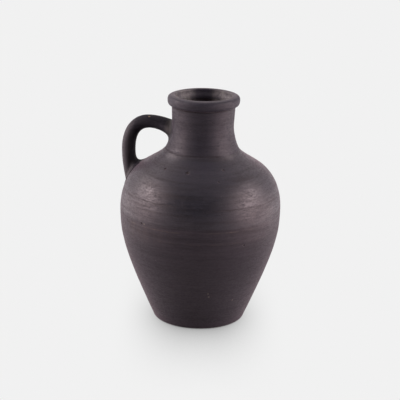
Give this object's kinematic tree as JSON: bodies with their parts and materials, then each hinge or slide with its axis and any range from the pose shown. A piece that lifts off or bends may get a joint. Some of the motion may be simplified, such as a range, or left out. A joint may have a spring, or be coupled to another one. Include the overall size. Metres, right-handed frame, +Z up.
{
  "type": "one-handled jug",
  "caption": "Round-bellied dark earthenware jug with a flat foot, steep shoulder, waisted neck, rolled lip and a strap handle, for holding and pouring liquids or for show.",
  "frame": {"origin": "centre of the flat underside of the foot", "axes": "+Z up along the pot's turning axis; the handle lies along -X"},
  "size_m": [0.1874, 0.182, 0.26],
  "materials": {
    "foot_clay": "matte, smoke-blackened",
    "lower_clay": "matte, lightly burnished",
    "shoulder_clay": "satin, burnished",
    "neck_clay": "satin, burnished",
    "rim_clay": "satin, burnished",
    "handle_clay": "matte, smoke-blackened",
    "upper_luting_clay": "matte, smoke-blackened",
    "lower_luting_clay": "matte, smoke-blackened"
  },
  "bodies": {
    "root": {"base_disc": "foot_clay", "lower_body": "lower_clay", "shoulder": "shoulder_clay", "neck": "neck_clay", "rim": "rim_clay", "handle": "handle_clay", "upper_luting": "upper_luting_clay", "lower_luting": "lower_luting_clay"}
  },
  "joints": []
}
